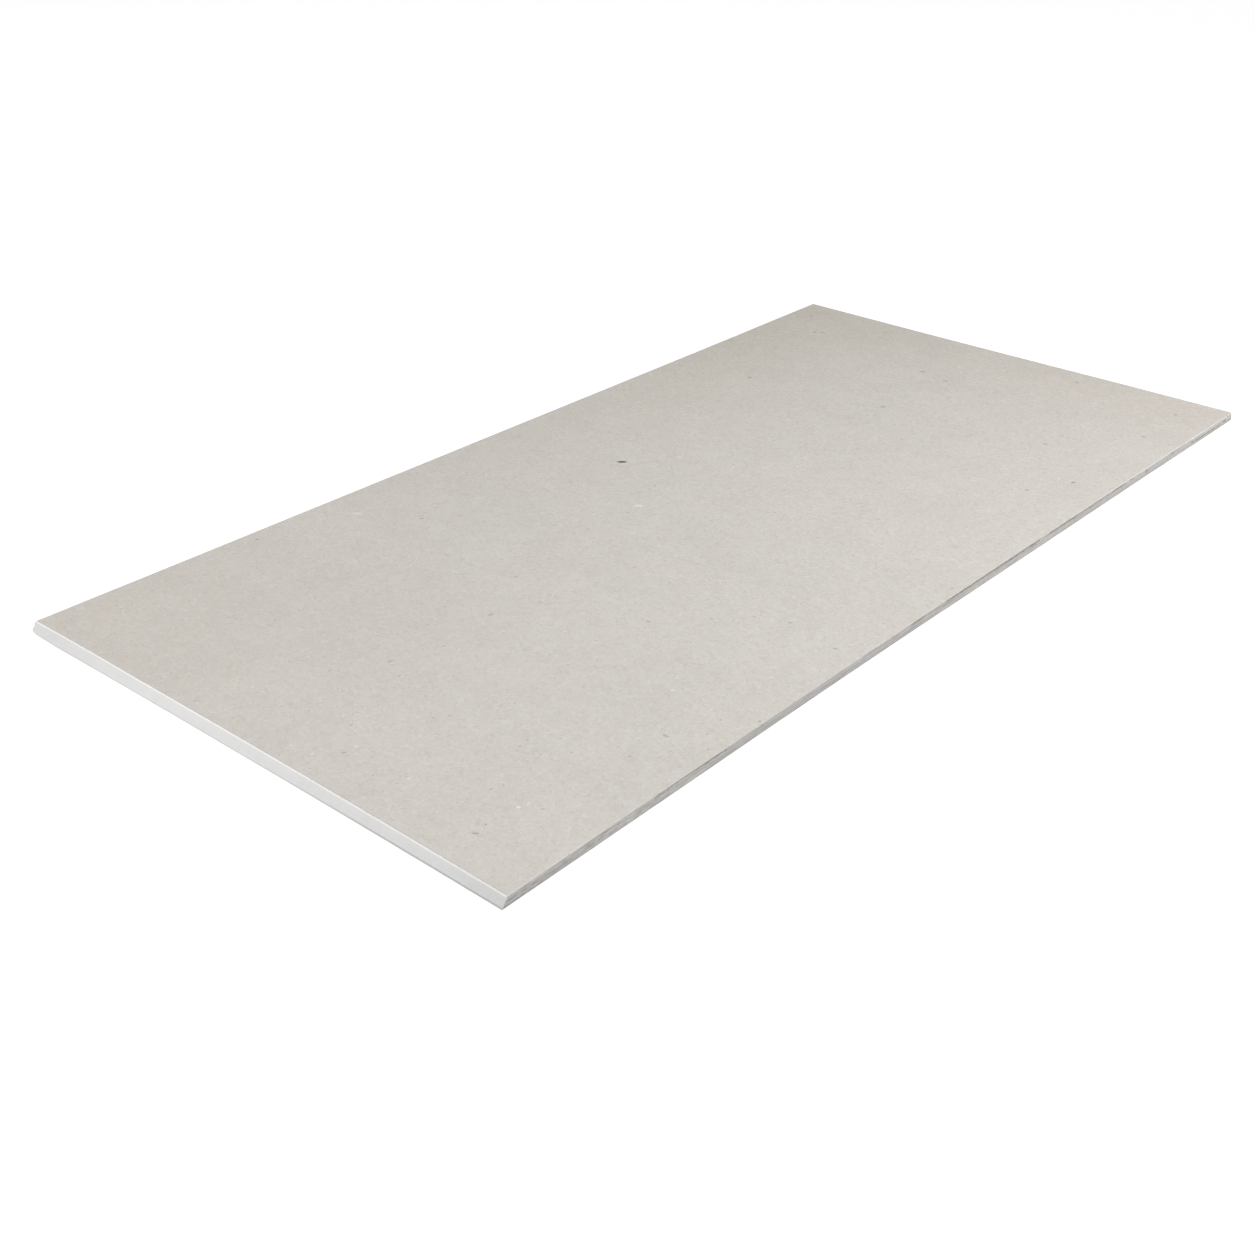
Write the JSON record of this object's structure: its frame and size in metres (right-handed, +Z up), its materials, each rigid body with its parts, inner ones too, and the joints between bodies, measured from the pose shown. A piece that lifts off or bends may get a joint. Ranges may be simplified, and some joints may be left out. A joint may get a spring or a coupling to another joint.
{
  "type": "drywall sheet",
  "caption": "Flat drywall sheet: a gypsum core with a face paper folded over its long sides, a back paper and bare cut ends.",
  "frame": {"origin": "under the middle of the sheet, level with its back", "axes": "+Z up out of the finish face, +Y along the sheet from the bevelled end to the square end, +X across it"},
  "size_m": [1.2192, 2.4384, 0.0159],
  "materials": {
    "gypsum": "matte, finely porous, white to pale grey",
    "ivory_paper": "matte, fine fibres and small specks, grey-beige",
    "grey_paper": "matte, coarse recycled paper, grey-brown"
  },
  "bodies": {
    "root": {"gypsum_core": "gypsum", "face_paper": "ivory_paper", "back_paper": "grey_paper"}
  },
  "joints": []
}
